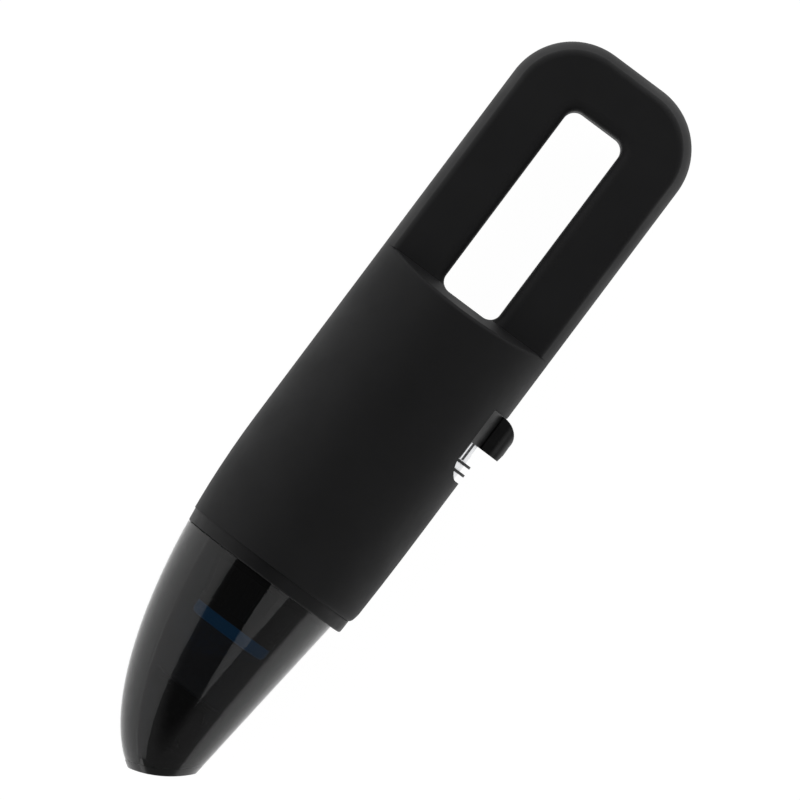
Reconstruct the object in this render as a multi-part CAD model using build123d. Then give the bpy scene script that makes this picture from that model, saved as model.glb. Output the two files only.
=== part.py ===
from build123d import *
from math import cos, pi, radians, sin, sqrt
import os

# Cordless hand vacuum with a loop handle, lying on its back, in millimetres.
# +Y runs from the nozzle to the handle, +X to the side that carries the power slider,
# and +Z is the broad face that looks up. The motor axis is x = 0, z = axis_z.
# The origin lies on the rest flat, straight below the motor axis.

# Body shell: an elliptical barrel that droops into the nozzle
body_width = 72.0
body_depth = 64.0
rest_cut = 1.5
wall = 2.2
floor_thickness = 2.0
nose_y = -57.0
taper_y = -18.0
tip_past_middle = 12.5
right_droop = 14.0
face_droop_share = 0.8125
nose_tuck = 1.6
nose_tuck_length = 5.0

# Loop handle
step_y = 58.7
step_lean = 0.206
shoulder_round = 1.5
slot_into_step = 1.1
slot_length = 78.7
slot_width = 23.7
slot_corner = 4.5
slot_round = 4.2
grip_bar = 23.7
grip_corner = 25.5
grip_thickness = 29.0
grip_round = 2.5

# Seam, bosses, ribs and openings of the two shells
tongue_depth = 1.5
tongue_width = 1.0
fit = 0.1
seat_gap = 0.15
boss_radius = 3.2
boss_inset = 6.5
front_boss_y = -35.0
right_boss_y = 46.0
left_boss_y = 30.0
grip_boss_inset = 10.0
grip_boss_back = 10.8
screw_radius = 1.5
screw_length = 18.0
screw_head_radius = 2.7
screw_head_height = 2.4
screw_seat_z = 20.0
rib_thickness = 1.8
air_hole_radius = 3.0
air_hole_reach = 25.3
air_holes = 8
vent_count = 6
vent_pitch = 4.4
vent_width = 1.8
vent_inner_x = 12.0
vent_outer_x = 22.0
foam_thickness = 2.5

# Collar ring and dust cup
ring_width = 5.0
ring_inset = 0.3
ring_right_inset = 1.3
ring_round = 0.8
socket_inset_width = 6.8
socket_inset_depth = 5.7
sleeve_wall = 2.0
sleeve_length = 11.0
web_thickness = 2.0
web_bore = 20.5
cup_right_inset = 5.8
cup_right_taper = 0.1
cup_face_inset = 1.2
cup_wall = 2.0
cup_gap = 0.1
cup_flange = 2.5
spigot_length = 8.0
spigot_wall = 2.6
seal_width = 2.0
seal_depth = 1.2
seal_y = -58.0
mouth_tip_y = -145.0
mouth_heel_y = -132.3
mouth_bulge = 1.6
tip_bluntness = 3.0
lip_thickness = 2.6

# Inlet duct and its flap
duct_end_y = -112.0
duct_end_x = 3.0
duct_end_radius = 10.0
duct_margin_width = 3.0
duct_margin_height = 4.3
duct_wall = 1.6
duct_recess = 0.4
flap_thickness = 1.5
flap_overlap = 1.0
flap_pin_radius = 0.8
flap_pin_length = 14.0
flap_lug = 3.2

# Filter
filter_flange_width = 3.9
filter_flange_gap = 0.3
filter_length = 30.0
filter_rear_radius = 21.0
filter_front_radius = 15.5
filter_lean = 2.5
filter_wall = 1.5
filter_bars = 6
filter_bar_width = 2.6
pleat_count = 32
pleat_depth = 5.0
pleat_sheet = 0.6
filter_cap_thickness = 4.6
filter_cap_floor = 1.2
filter_cap_rim = 3.5
filter_cap_round = 2.0

# Power slider, its track and the switch behind it
window_front_y = 5.5
window_length = 28.8
window_half_height = 17.0
window_corner = 8.0
window_bar_ys = (8.7, 12.2)
window_bar_width = 1.0
track_thickness = 1.6
track_margin = 2.0
rail_heights = (10.3, 13.2)
rail_width = 0.9
rail_rise = 0.8
slider_front_y = 20.0
slider_length = 14.0
slider_travel = 6.5
slider_skin = 1.1
slider_reveal = 0.1
slider_half_width = 9.0
slider_height = 6.6
slider_round = 4.5
stem_length = 8.0
stem_half_height = 3.0
foot_half_height = 5.5
foot_thickness = 1.7
switch_length = 13.0
switch_width = 8.0
switch_depth = 5.7
switch_gap = 1.0
slider_clearance = 0.3
cheek_thickness = 1.4
cheek_gap = 2.0
lever_width = 2.0
lever_length = 4.0

# Motor and fan
motor_radius = 18.0
motor_length = 48.0
motor_front_y = -24.0
motor_skin = 1.2
end_cap_length = 5.0
shaft_radius = 1.6
bearing_radius = 4.0
bearing_length = 5.0
bearing_fit = 0.03
magnet_thickness = 3.2
magnet_length = 30.0
magnet_angle = 140.0
magnet_gap = 0.6
pole_count = 5
core_length = 22.0
commutator_radius = 5.0
commutator_length = 6.0
brush_width = 4.0
mount_radius = 21.0
mount_width = 6.0
mount_groove = 1.4
mount_inset = 7.0
fan_radius = 22.0
fan_clearance = 1.3
fan_disc = 1.5
fan_eye_radius = 9.5
fan_depth = 9.5
blade_count = 9
blade_thickness = 1.2
blade_curve = 12.5
shroud_wall = 1.5
diffuser_slots = 12
motor_screw_radius = 1.4
motor_screw_reach = 9.0

# Battery, board and wires
cell_radius = 9.2
cell_length = 65.0
cell_shift = 1.6
cell_rib_count = 3
board_drop = 8.0
board_thickness = 1.6
board_half_width = 24.0
board_front_y = 35.0
board_length = 18.0
post_radius = 2.6
post_x = 17.0
port_y = 44.0
port_half_length = 4.5
port_half_height = 1.65
port_depth = 7.5
port_recess = 0.6
coil_radius = 3.2
coil_back = 12.5
wire_radius = 0.8
wire_bend = 4.0

# Places worked out from the sizes above
axis_z = body_depth / 2 - rest_cut
left_droop = body_width / 2 + tip_past_middle
face_droop = face_droop_share * body_depth / 2
taper_reach = taper_y - mouth_tip_y + tip_bluntness
slot_front_y = step_y - slot_into_step
slot_end_y = slot_front_y + slot_length
grip_end_y = slot_end_y + grip_bar
corner_x = body_width / 2 - grip_corner
corner_y = grip_end_y - grip_corner
half_grip = grip_thickness / 2
leg_x = (slot_width + body_width) / 4
grip_boss = (body_width / 2 - grip_boss_inset, slot_end_y + grip_boss_back)
socket_half_width = body_width / 2 - socket_inset_width
socket_half_depth = body_depth / 2 - socket_inset_depth
cup_right_x = body_width / 2 - cup_right_inset
ring_front_y = nose_y - ring_width
sleeve_end_y = nose_y + sleeve_length
web_front_y = sleeve_end_y - web_thickness
cavity_front_y = sleeve_end_y + 1.0
sleeve_half_width = socket_half_width + sleeve_wall
sleeve_half_depth = socket_half_depth + sleeve_wall
boss_x = body_width / 2 - boss_inset
spigot_end_y = ring_front_y + spigot_length
motor_end_y = motor_front_y + motor_length
mount_ys = (motor_front_y + mount_inset, motor_end_y - mount_inset)
shroud_front_y = sleeve_end_y + fit
fan_front_y = shroud_front_y + 2 * shroud_wall + fan_clearance - 0.8
fan_back_y = fan_front_y + fan_depth
shroud_radius = fan_radius + fan_clearance + shroud_wall
diffuser_y = fan_back_y + fan_clearance
cell_front_y = (slot_front_y + slot_end_y - cell_length) / 2 - cell_shift
window_end_y = window_front_y + window_length
board_z = -board_drop
port_z = board_z + board_thickness + port_half_height
port_mouth_x = -body_width / 2 + port_recess + 0.4


def across(y, x=0.0):
    """Plane square to the motor axis; its normal is +Y."""
    return Plane(origin=(x, y, axis_z), x_dir=(1, 0, 0), z_dir=(0, 1, 0))


def round_bar(y0, y1, radius, x=0.0):
    return extrude(across(y0, x) * Circle(radius), y1 - y0)


def tube(y0, y1, outer, inner, x=0.0):
    return extrude(across(y0, x) * (Circle(outer) - Circle(inner)), y1 - y0)


def oval(half_width, half_depth):
    """Ellipse whose outline starts at its top, clear of the seam between the shells."""
    return Ellipse(half_depth, half_width, rotation=90)


def oval_bar(y0, y1, half_width, half_depth, x=0.0):
    return extrude(across(y0, x) * oval(half_width, half_depth), y1 - y0)


def block(x, y, z):
    """Box between pairs of limits, with z counted from the motor axis."""
    centre = Pos(sum(x) / 2, sum(y) / 2, axis_z + sum(z) / 2)
    return centre * Box(x[1] - x[0], y[1] - y[0], z[1] - z[0])


def upright(x, y, z0, z1, radius):
    """Cylinder along Z between two heights above the rest flat."""
    return Pos(x, y, z0) * Cylinder(radius, z1 - z0, align=(Align.CENTER, Align.CENTER, Align.MIN))


def skin_x(inset, height):
    """Half-width of the straight barrel, moved inward by inset, at a height off the axis."""
    half_depth = body_depth / 2 - inset
    return (body_width / 2 - inset) * sqrt(1 - (height / half_depth) ** 2)


# Slider foot and switch, stacked inward from the back of the track
track_back = wall + fit + track_thickness
foot_top_x = skin_x(track_back, foot_half_height) - slider_clearance
foot_base_x = foot_top_x - foot_thickness
switch_top_x = foot_base_x - switch_gap


# Outer form

def droop(y):
    """Share of the full droop at a station: nothing behind taper_y, 1 at the blunt end."""
    if y >= taper_y:
        return 0.0
    return 1 - sqrt(1 - ((taper_y - y) / taper_reach) ** 2)


def tuck(y):
    """How far the right edge rounds in just before the nose."""
    share = (nose_y + nose_tuck_length - y) / nose_tuck_length
    if share <= 0:
        return 0.0
    return nose_tuck * (1 - sqrt(1 - share * share))


def left_edge(y):
    return -body_width / 2 + left_droop * droop(y)


def right_edge(y):
    return body_width / 2 - right_droop * droop(y) - tuck(y)


def face_height(y):
    return body_depth / 2 - face_droop * droop(y)


def section(y, left, right, height):
    return across(y, (left + right) / 2) * oval((right - left) / 2, height)


def body_section(y, inset):
    return section(y, left_edge(y) + inset, right_edge(y) - inset, face_height(y) - inset)


def stations(start, end, count):
    return [start + (end - start) * i / count for i in range(count + 1)]


def barrel(inset, front_y):
    solid = extrude(body_section(0, inset), step_y - inset)
    rear_of_tuck = max(front_y, nose_y + nose_tuck_length)
    solid += loft([body_section(y, inset) for y in stations(rear_of_tuck, 0, 6)])
    if front_y < rear_of_tuck:
        solid += loft([body_section(y, inset) for y in stations(front_y, rear_of_tuck, 4)])
    return solid


def step_cut(inset):
    """What the leaning step takes off the barrel, above and below the loop's faces."""
    low = half_grip - inset
    top = body_depth / 2 + 1
    back = inset * sqrt(1 + step_lean ** 2)

    def wall_y(height):
        return step_y - step_lean * (height - half_grip) - back

    outline = Polyline(
        (wall_y(low), low), (wall_y(top), top), (step_y + 1, top), (step_y + 1, low), close=True)
    side_view = Plane(origin=(0, 0, axis_z), x_dir=(0, 1, 0), z_dir=(1, 0, 0))
    above = extrude(side_view * make_face(outline), body_width, both=True)
    return [above, mirror(above, Plane.XY.offset(axis_z))]


def loop(inset, front_y):
    """Loop handle: two legs, two turned corners and the end bar, round an open slot."""
    height = half_grip - inset
    profile = across(corner_y) * oval(body_width / 2 - inset, body_depth / 2 - inset)
    profile &= block((-body_width, body_width), (corner_y - 1, corner_y + 1), (-height, height))
    legs = extrude(profile, front_y - corner_y)
    window = block((corner_x, body_width), (corner_y - 1, corner_y + 1), (-height, height))
    quarter = profile & window
    pivot = Axis((corner_x, corner_y, 0), (0, 0, 1))
    corner = revolve(quarter, pivot, revolution_arc=90)
    bar = extrude(quarter.rotate(pivot, 90), amount=2 * corner_x, dir=(-1, 0, 0))
    shape = legs + corner + mirror(corner, Plane.YZ) + bar
    return shape - slot_island(inset)


def slot_island(inset):
    outline = RectangleRounded(slot_width + 2 * inset, slot_length + 2 * inset, slot_corner + inset)
    middle = (slot_front_y + slot_end_y) / 2
    return Pos(0, middle, axis_z) * extrude(outline, body_depth, both=True)


def envelope(inset, front_y):
    """The body's form moved inward by inset, from front_y to the end of the loop."""
    body = barrel(inset, front_y) - step_cut(inset) - slot_island(inset)
    return body + loop(inset, step_y - inset)


def between_skins(outer_inset, inner_inset, x, y, z):
    """Curved plate of the barrel between two depths, cut to a box."""
    outer = oval_bar(y[0], y[1], body_width / 2 - outer_inset, body_depth / 2 - outer_inset)
    inner = oval_bar(y[0], y[1], body_width / 2 - inner_inset, body_depth / 2 - inner_inset)
    return (outer - inner) & block(x, y, z)


# Housing

def rounded_loop(front_y):
    shape = loop(0, front_y)
    half_slot = slot_width / 2 + 0.1

    def on_face(edge):
        box = edge.bounding_box()
        flat = box.size.Z < 0.1 and abs(abs(box.min.Z - axis_z) - half_grip) < 0.1
        return flat and box.max.Y > front_y + 0.1

    def round_slot(edge):
        box = edge.bounding_box()
        return max(abs(box.min.X), abs(box.max.X)) < half_slot and box.max.Y < slot_end_y + 0.1

    shape = fillet([e for e in shape.edges() if on_face(e) and not round_slot(e)], grip_round)
    return fillet([e for e in shape.edges() if on_face(e) and round_slot(e)], slot_round)


def seam_side(side):
    """Everything on one side of the seam plane: side 1 above it, -1 below it."""
    return block(
        (-body_width, body_width), (nose_y - 1, grip_end_y + 1), sorted((0, side * body_depth)))


def outer_half(side):
    """Half of the outer form, with the step's shoulder and the loop's edges rounded."""
    body = (barrel(0, nose_y) & seam_side(side)) - step_cut(0)

    def on_shoulder(edge):
        size = edge.bounding_box().size
        return size.X > body_width / 2 and size.Z > 1 and edge.bounding_box().max.Y > step_y - 1

    body = fillet([e for e in body.edges() if on_shoulder(e)], shoulder_round) - slot_island(0)
    half = body + (rounded_loop(step_y) & seam_side(side))
    return half - block((-body_width, body_width), (nose_y - 1, grip_end_y + 1), (-body_depth, -axis_z))


def mount_rib(y):
    """Plate across the barrel that holds a motor mount in its groove."""
    rib = block(
        (-body_width, body_width), (y - rib_thickness / 2, y + rib_thickness / 2),
        (-body_depth, body_depth))
    rib -= round_bar(y - rib_thickness, y + rib_thickness, mount_radius - mount_groove + fit)
    for i in range(air_holes):
        turn = 2 * pi * (i + 0.5) / air_holes
        hole = round_bar(y - rib_thickness, y + rib_thickness, air_hole_radius)
        rib -= Pos(air_hole_reach * cos(turn), 0, air_hole_reach * sin(turn)) * hole
    track_room = window_half_height + track_margin + 0.6
    rib -= block(
        (mount_radius + 0.5, body_width), (y - rib_thickness, y + rib_thickness),
        (-track_room, track_room))
    return rib


def cell_rib(y):
    rib = block(
        (-body_width, body_width), (y - rib_thickness / 2, y + rib_thickness / 2),
        (-half_grip, half_grip))
    for side in (-1, 1):
        rib -= round_bar(y - rib_thickness, y + rib_thickness, cell_radius + seat_gap, side * leg_x)
    return rib


def screw_spots():
    spots = [(side * boss_x, front_boss_y) for side in (-1, 1)]
    spots += [(boss_x, right_boss_y), (-boss_x, left_boss_y)]
    return spots + [(side * grip_boss[0], grip_boss[1]) for side in (-1, 1)]


def post_spots():
    inset = post_radius + 0.4
    ys = (board_front_y + inset, board_front_y + board_length - inset)
    return [(side * post_x, y) for side in (-1, 1) for y in ys]


def hollow():
    """Inside space of the housing, with ribs, bosses and posts left standing."""
    space = envelope(wall, cavity_front_y)
    space -= block(
        (-body_width, body_width), (nose_y, grip_end_y), (-body_depth, floor_thickness - axis_z))
    for y in mount_ys:
        space -= mount_rib(y)
    for i in range(cell_rib_count):
        space -= cell_rib(cell_front_y + cell_length * (i + 0.5) / cell_rib_count)
    for x, y in screw_spots():
        space -= upright(x, y, 0, body_depth, boss_radius)
    for x, y in post_spots():
        space -= upright(x, y, 0, axis_z + board_z, post_radius)
    return space


def vents():
    cuts = []
    for side in (-1, 1):
        for i in range(vent_count):
            y = (i - (vent_count - 1) / 2) * vent_pitch
            x = side * (vent_inner_x + vent_outer_x) / 2
            size = (vent_outer_x - vent_inner_x, vent_width)
            outline = SlotOverall(size[0], size[1])
            cuts.append(Pos(x, y, -rest_cut) * extrude(outline, axis_z - half_grip))
    return cuts


def windows():
    """Openings over the slider's track: one window, rounded in front, parted by two cross bars."""
    edges = [window_front_y]
    for y in window_bar_ys:
        edges += [y - window_bar_width / 2, y + window_bar_width / 2]
    edges.append(window_end_y)
    pairs = [(edges[i], edges[i + 1]) for i in range(0, len(edges), 2)]
    reach = (switch_top_x, body_width)
    height = (-window_half_height, window_half_height)
    side_view = Plane(origin=(switch_top_x, 0, axis_z), x_dir=(0, 1, 0), z_dir=(1, 0, 0))
    outline = RectangleRounded(
        window_length + 2 * window_corner, 2 * window_half_height, window_corner)
    middle_y = (window_front_y + window_end_y) / 2 + window_corner
    window = extrude(side_view * Pos(middle_y, 0) * outline, body_width)
    return [block(reach, pair, height) & window for pair in pairs]


def port_opening(clearance):
    outline = SlotOverall(2 * (port_half_length + clearance), 2 * (port_half_height + clearance))
    spot = Plane(origin=(-body_width / 2 - 1, port_y, axis_z + port_z), x_dir=(0, 1, 0), z_dir=(1, 0, 0))
    return extrude(spot * outline, port_depth + 1)


def tongue(outer_inset, inner_inset, depth):
    front_y = cavity_front_y + 1
    band = envelope(outer_inset, front_y) - envelope(inner_inset, front_y - 1)
    return band & block((-body_width, body_width), (front_y, grip_end_y), (-depth, 0))


def shells():
    """Front and back shell, parted in the plane of the motor axis."""
    space = hollow()
    halves = []
    for side in (1, -1):
        shell = outer_half(side) - (space & seam_side(side))
        shell -= oval_bar(
            nose_y - 1, cavity_front_y + 1, sleeve_half_width + fit, sleeve_half_depth + fit)
        halves.append(shell)
    front, back = halves
    front += tongue(wall - tongue_width, wall, tongue_depth)
    seat_z = screw_seat_z
    back_cuts = [tongue(wall - tongue_width - fit, wall + 1, tongue_depth + fit), port_opening(fit)]
    front_cuts = windows()
    back_cuts += windows() + vents()
    for x, y in screw_spots():
        back_cuts.append(upright(x, y, -1, seat_z, screw_head_radius + 0.3))
        back_cuts.append(upright(x, y, seat_z, axis_z + 1, screw_radius + fit))
        front_cuts.append(upright(x, y, axis_z - 1, seat_z + screw_length + 1, screw_radius + fit))
        front_cuts.append(upright(x, y, axis_z - 2 * tongue_depth, axis_z, boss_radius + 3))
    for x, y in post_spots():
        top = axis_z + board_z
        back_cuts.append(upright(x, y, top - 6, top + 1, motor_screw_radius + fit))
    return front - front_cuts, back - back_cuts


def shell_screw(x, y):
    head_z = screw_seat_z - screw_head_height
    screw = upright(x, y, head_z, screw_seat_z, screw_head_radius)
    screw += upright(x, y, screw_seat_z, screw_seat_z + screw_length, screw_radius)
    for size in ((3.2, 0.8), (0.8, 3.2)):
        screw -= Pos(x, y, head_z) * Box(size[0], size[1], 2.4)
    return screw


def exhaust_foam():
    length = vent_count * vent_pitch
    pieces = []
    for side in (-1, 1):
        x = sorted((side * (vent_inner_x - 1.2), side * (vent_outer_x + 1.2)))
        floor = floor_thickness + seat_gap - axis_z
        pieces.append(between_skins(
            wall + seat_gap, wall + seat_gap + foam_thickness, x,
            (-length / 2, length / 2), (floor, -half_grip)))
    return Compound(pieces)


# Collar ring and dust cup

def collar_ring():
    def ring_section(y):
        return section(
            y, left_edge(y) + ring_inset, body_width / 2 - right_droop * droop(y) - ring_right_inset,
            face_height(y) - ring_inset)

    band = loft([ring_section(ring_front_y), ring_section(nose_y - fit / 2)])
    band = fillet(band.edges().group_by(Axis.Y)[0], ring_round)
    ring = band + oval_bar(nose_y - 1, sleeve_end_y, sleeve_half_width, sleeve_half_depth)
    ring -= oval_bar(ring_front_y - 1, web_front_y, socket_half_width, socket_half_depth)
    return ring - round_bar(web_front_y - 1, sleeve_end_y + 1, web_bore)


def cup_left(y):
    return left_edge(y) + ring_inset


def cup_right(y):
    return cup_right_x - cup_right_taper * (ring_front_y - y)


def cup_form(inset, rear_y):
    ys = stations(rear_y, mouth_tip_y - tip_bluntness / 2, 9)
    sections = [
        section(
            y, cup_left(y) + inset, cup_right(y) - inset, face_height(y) - cup_face_inset - inset)
        for y in ys
    ]
    return loft(sections)


def mouth_frame():
    """Middle of the mouth, its outward direction and half its width, in the seam plane."""
    tip = (cup_left(mouth_tip_y), mouth_tip_y)
    heel = (cup_right(mouth_heel_y), mouth_heel_y)
    run = (heel[0] - tip[0], heel[1] - tip[1])
    width = sqrt(run[0] ** 2 + run[1] ** 2)
    outward = (run[1] / width, -run[0] / width)
    middle = ((tip[0] + heel[0]) / 2, (tip[1] + heel[1]) / 2)
    return middle, outward, width / 2


def beyond_mouth(back):
    """Everything past the bulged mouth face, moved inward by back."""
    middle, outward, half_width = mouth_frame()
    radius = (half_width ** 2 + mouth_bulge ** 2) / (2 * mouth_bulge)
    shift = (middle[0] - back * outward[0], middle[1] - back * outward[1])
    plane = Plane(origin=(shift[0], shift[1], axis_z), x_dir=(0, 0, 1), z_dir=(outward[0], outward[1], 0))
    half_space = extrude(plane * Rectangle(2 * body_depth, 2 * body_width), body_width)
    centre = (
        shift[0] - outward[0] * (radius - mouth_bulge),
        shift[1] - outward[1] * (radius - mouth_bulge))
    return half_space - upright(*centre, -body_depth, 2 * body_depth, radius)


def mouth_plane(back):
    middle, outward, half_width = mouth_frame()
    origin = (middle[0] - back * outward[0], middle[1] - back * outward[1], axis_z)
    return Plane(origin=origin, x_dir=(-outward[1], outward[0], 0), z_dir=(-outward[0], -outward[1], 0))


def dust_cup():
    rear_y = ring_front_y - cup_gap
    cup = cup_form(0, rear_y) - cup_form(cup_wall, rear_y - cup_flange)
    half_width = socket_half_width - cup_gap
    half_depth = socket_half_depth - cup_gap
    cup += oval_bar(rear_y - 0.5, spigot_end_y, half_width, half_depth)
    cup -= oval_bar(
        rear_y - cup_flange - 0.5, spigot_end_y + 1, half_width - spigot_wall, half_depth - spigot_wall)
    cup -= seal_band(0.2, seal_depth, 0)
    return cup - beyond_mouth(lip_thickness)


def seal_band(extra_width, depth, edge_round):
    """Elliptical band around the spigot: the groove, or the seal that lies in it."""
    half = (seal_width + extra_width) / 2
    half_width = socket_half_width - cup_gap
    half_depth = socket_half_depth - cup_gap
    band = oval_bar(seal_y - half, seal_y + half, half_width, half_depth)
    if edge_round:
        band = fillet(band.edges(), edge_round)
    inner = depth - (fit if edge_round else 0)
    return band - oval_bar(seal_y - half, seal_y + half, half_width - inner, half_depth - inner)


def duct_form(inset):
    """Tapering tube form that starts a little outside the bulged mouth."""
    middle, _, half_width = mouth_frame()
    half_height = face_height(middle[1]) - cup_face_inset
    front = mouth_plane(-mouth_bulge - 1) * Ellipse(
        half_width - duct_margin_width - inset, half_height - duct_margin_height - inset)
    rear = across(duct_end_y, duct_end_x) * Circle(duct_end_radius - inset)
    return loft([front, rear])


def mouth_lip():
    lip = cup_form(0, mouth_heel_y + 12) & beyond_mouth(lip_thickness - fit / 2)
    return lip - beyond_mouth(0) - duct_form(-fit)


def flap_axis():
    """Where the flap's upright pin stands, in x and y."""
    reach = duct_end_radius + flap_overlap + flap_pin_radius + 0.7
    return duct_end_x - reach, duct_end_y + fit + flap_thickness / 2


def inlet_duct():
    bore = duct_form(duct_wall)
    duct = duct_form(0) - bore - beyond_mouth(duct_recess)
    plate = cup_form(cup_wall + fit, mouth_heel_y + 25) & beyond_mouth(lip_thickness + duct_wall + fit)
    plate -= beyond_mouth(lip_thickness + fit)
    duct += plate - bore
    pin_x, pin_y = flap_axis()
    end = duct_form(duct_wall)
    for side in (-1, 1):
        top = side * flap_pin_length / 2
        z = sorted((top, top - side * 2.2))
        lug = block((pin_x - flap_lug / 2, duct_end_x), (duct_end_y - 3, duct_end_y), z)
        lug += block((pin_x - flap_lug / 2, pin_x + flap_lug / 2), (duct_end_y - 3, pin_y + 1.5), z)
        duct += lug - end
    return duct - upright(pin_x, pin_y, axis_z - 10, axis_z + 10, flap_pin_radius + fit / 2)


def inlet_flap():
    pin_x, pin_y = flap_axis()
    y0 = pin_y - flap_thickness / 2
    flap = round_bar(y0, y0 + flap_thickness, duct_end_radius + flap_overlap, duct_end_x)
    half = flap_pin_length / 2 - 2.2 - 0.4
    flap += block((pin_x, duct_end_x), (y0, y0 + flap_thickness), (-half, half))
    flap += upright(pin_x, pin_y, axis_z - half, axis_z + half, flap_pin_radius + 0.9)
    return flap - upright(pin_x, pin_y, axis_z - 10, axis_z + 10, flap_pin_radius + fit / 2)


def flap_pin():
    pin_x, pin_y = flap_axis()
    half = flap_pin_length / 2 - 0.1
    return upright(pin_x, pin_y, axis_z - half, axis_z + half, flap_pin_radius)


# Filter

def cone(start_y, end_y, rear_radius, front_radius):
    """Round form that leans from the motor axis towards the filter's front middle."""
    span = filter_length

    def ring(y):
        share = (filter_rear_y() - y) / span
        radius = rear_radius + (front_radius - rear_radius) * share
        return across(y, filter_lean * share) * Circle(radius)

    return loft([ring(start_y), ring(end_y)])


def filter_rear_y():
    return web_front_y - fit - filter_flange_width


def filter_frame():
    rear = filter_rear_y()
    front = rear - filter_length
    flange = oval_bar(
        rear, rear + filter_flange_width, socket_half_width - filter_flange_gap,
        socket_half_depth - filter_flange_gap)
    cage = cone(rear + 0.5, front, filter_rear_radius, filter_front_radius)
    inner = (filter_rear_radius - filter_wall, filter_front_radius - filter_wall)
    frame = flange + cage
    frame -= cone(rear + 0.6, front - 0.1, *inner)
    frame -= round_bar(rear - 0.5, rear + filter_flange_width + 1, inner[0] - 0.2)
    for i in range(filter_bars):
        turn = 360 * (i + 0.5) / filter_bars
        frame -= opening_between_bars(rear, front, turn)
    return frame


def opening_between_bars(rear, front, turn):
    """Wedge that opens the cage between two of its bars."""
    half = 180 / filter_bars
    reach = filter_rear_radius + 4
    side = filter_bar_width / 2
    tip = side / sin(radians(half))
    wedge = Polyline(
        (tip, 0), (tip + reach * cos(radians(half)), reach * sin(radians(half))),
        (tip + reach * cos(radians(half)), -reach * sin(radians(half))), close=True)
    cut = extrude(across(front + 3) * (Rot(0, 0, turn) * make_face(wedge)), rear - front - 6)
    lean = filter_lean * 0.5
    return Pos(lean, 0, 0) * cut


def star(y, radius, depth, x):
    points = []
    for i in range(2 * pleat_count):
        reach = radius if i % 2 == 0 else radius - depth
        turn = pi * i / pleat_count
        points.append((reach * cos(turn), reach * sin(turn)))
    return across(y, x) * make_face(Polyline(*points, close=True))


def filter_pleats():
    rear = filter_rear_y()
    front = rear - filter_length
    gap = filter_wall + 0.2
    outer = [
        star(rear + 1, filter_rear_radius - gap, pleat_depth, 0),
        star(front + 0.2, filter_front_radius - gap, pleat_depth, filter_lean)]
    inner = [
        star(rear + 1.2, filter_rear_radius - gap - pleat_sheet, pleat_depth, 0),
        star(front, filter_front_radius - gap - pleat_sheet, pleat_depth, filter_lean)]
    return loft(outer, ruled=True) - loft(inner, ruled=True)


def filter_cap():
    front = filter_rear_y() - filter_length
    radius = filter_front_radius
    cap = round_bar(front - filter_cap_thickness, front - fit / 2, radius, filter_lean)
    cap = fillet(cap.edges().group_by(Axis.Y)[0], filter_cap_round)
    dish = round_bar(
        front - filter_cap_thickness - 1, front - filter_cap_floor, radius - filter_cap_rim, filter_lean)
    return cap - dish


# Power slider

def switch_track():
    margin = track_margin
    inset = wall + fit
    y = (window_front_y - margin, window_end_y + margin)
    z = (-window_half_height - margin, window_half_height + margin)
    reach = (switch_top_x - 10, body_width)
    track = between_skins(inset, inset + track_thickness, reach, y, z)
    last_bar = window_bar_ys[-1] + window_bar_width / 2
    rail_y = (last_bar + 0.3, window_end_y - 0.3)
    for height in rail_heights:
        for side in (-1, 1):
            low = side * height - rail_width / 2
            rail = between_skins(inset - rail_rise, inset + 0.2, reach, rail_y, (low, low + rail_width))
            track += rail
    stem_y = (slider_front_y + 3 - slider_travel - 0.3, slider_front_y + 3 + stem_length + 0.3)
    track -= block(reach, stem_y, (-stem_half_height - 0.3, stem_half_height + 0.3))
    near = switch_width / 2 + cheek_gap
    base = switch_top_x - switch_depth
    outside = extrude(body_section(0, inset + track_thickness / 2), step_y)
    for side in (-1, 1):
        height = sorted((side * near, side * (near + cheek_thickness)))
        cheek = block((base, body_width / 2), switch_span(), height)
        ledge_z = sorted((side * (switch_width / 2 + fit / 2), side * (near + 0.1)))
        cheek += block((base, base + cheek_thickness), switch_span(), ledge_z)
        track += cheek & outside
    return track


def switch_span():
    start = slider_front_y - 0.5
    return start, start + switch_length


def slider():
    side = body_width / 2
    height = window_half_height - 0.3
    rear_y = slider_front_y + slider_length
    cover = between_skins(
        slider_reveal, slider_reveal + slider_skin, (switch_top_x, body_width),
        (slider_front_y, rear_y), (-height, height))
    top = side + slider_height
    brow_y = slider_front_y + 6.5
    face = Polyline(
        (side - 1.2, slider_front_y), (top - 0.5, slider_front_y), (top, slider_front_y + 3),
        (top - 0.1, brow_y))
    back_curve = Spline(
        (top - 0.1, brow_y), (side + 4.9, slider_front_y + 11.5), (side + 0.4, rear_y - 0.2),
        (side - 1.2, rear_y - 0.1))
    base = Line((side - 1.2, rear_y - 0.1), (side - 1.2, slider_front_y))
    outline = Pos(0, 0, axis_z) * make_face(Curve() + [face, back_curve, base])
    bump = extrude(outline, slider_half_width, both=True)
    arch = Pos(top - 10, 0) * RectangleRounded(20, 2 * slider_half_width, slider_round)
    bump &= extrude(across(slider_front_y - 1) * arch, slider_length + 2)
    bump -= extrude(body_section(0, slider_reveal + 0.6), step_y)
    stem_y = (slider_front_y + 3, slider_front_y + 3 + stem_length)
    foot_x = (foot_base_x, foot_top_x)
    stem = block((foot_x[0], side - slider_skin), stem_y, (-stem_half_height, stem_half_height))
    foot = block(foot_x, stem_y, (-foot_half_height, foot_half_height))
    body = cover + bump + stem + foot
    lever_y = (lever_start_y() - fit, lever_start_y() + lever_width + fit)
    return body - block(
        (foot_base_x - 1, foot_base_x + 1.1), lever_y, (-lever_width / 2 - fit, lever_width / 2 + fit))


def lever_start_y():
    return slider_front_y + 3 + stem_length / 2 - 1


def lever():
    start = lever_start_y()
    top = foot_base_x + 0.9
    return block(
        (top - lever_length, top), (start, start + lever_width),
        (-lever_width / 2, lever_width / 2))


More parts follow.
